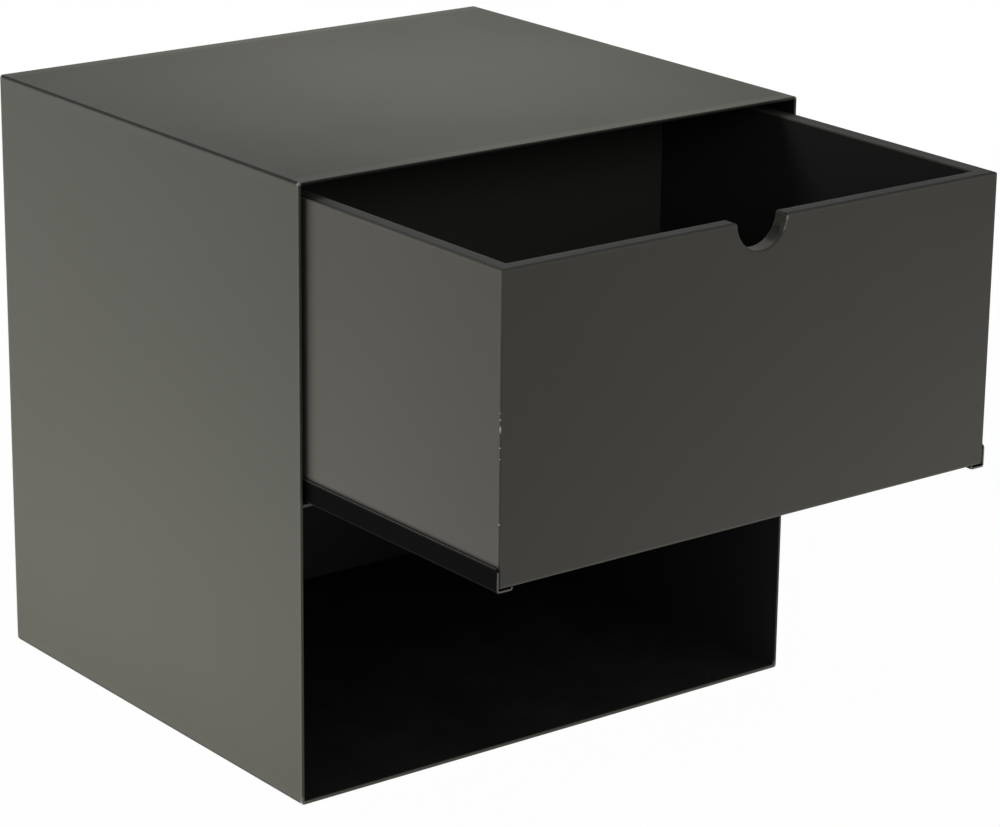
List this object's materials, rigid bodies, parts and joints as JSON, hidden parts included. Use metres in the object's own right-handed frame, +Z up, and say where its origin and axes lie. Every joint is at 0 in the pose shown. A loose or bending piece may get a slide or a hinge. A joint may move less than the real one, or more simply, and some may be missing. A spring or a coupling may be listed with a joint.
{
  "type": "drawer cabinet",
  "caption": "Cube-shaped sheet-steel cabinet with a deep pull-out drawer, cut with a half-round finger notch, above an open compartment.",
  "frame": {"origin": "centre of the casing's bottom face", "axes": "+Z up, the drawer opens towards -Y, X across the width"},
  "size_m": [0.35, 0.48, 0.356],
  "materials": {
    "casing_paint": "satin warm grey powder coat",
    "inner_paint": "satin near-black powder coat",
    "drawer_lacquer": "board in satin warm grey lacquer",
    "drawer_floor": "thin board, near-black lacquer",
    "runner_paint": "matt black powder coat",
    "glide_plastic": "black low-friction plastic",
    "bumper_rubber": "matt black",
    "screw_steel": "zinc plated",
    "bare_wood": "bare beech"
  },
  "bodies": {
    "casing": {"casing_shell": "casing_paint", "back_panel": "inner_paint", "divider_shelf": "inner_paint", "left_glide_strip": "glide_plastic", "right_glide_strip": "glide_plastic", "left_tilt_strip": "glide_plastic", "right_tilt_strip": "glide_plastic", "closing_bumpers": "bumper_rubber", "left_stop_block": "glide_plastic", "right_stop_block": "glide_plastic", "stop_screws": "screw_steel"},
    "drawer": {"drawer_front": "drawer_lacquer", "drawer_left_side": "drawer_lacquer", "drawer_right_side": "drawer_lacquer", "drawer_back": "drawer_lacquer", "drawer_bottom": "drawer_floor", "front_corner_keys": "bare_wood", "rear_corner_dowels": "bare_wood", "left_runner": "runner_paint", "right_runner": "runner_paint", "runner_screws": "screw_steel"}
  },
  "joints": [
    {"name": "drawer_slide", "type": "slide", "parent": "casing", "child": "drawer", "axis": [0, -1, 0], "range_m": [-0.17, 0.05]}
  ]
}
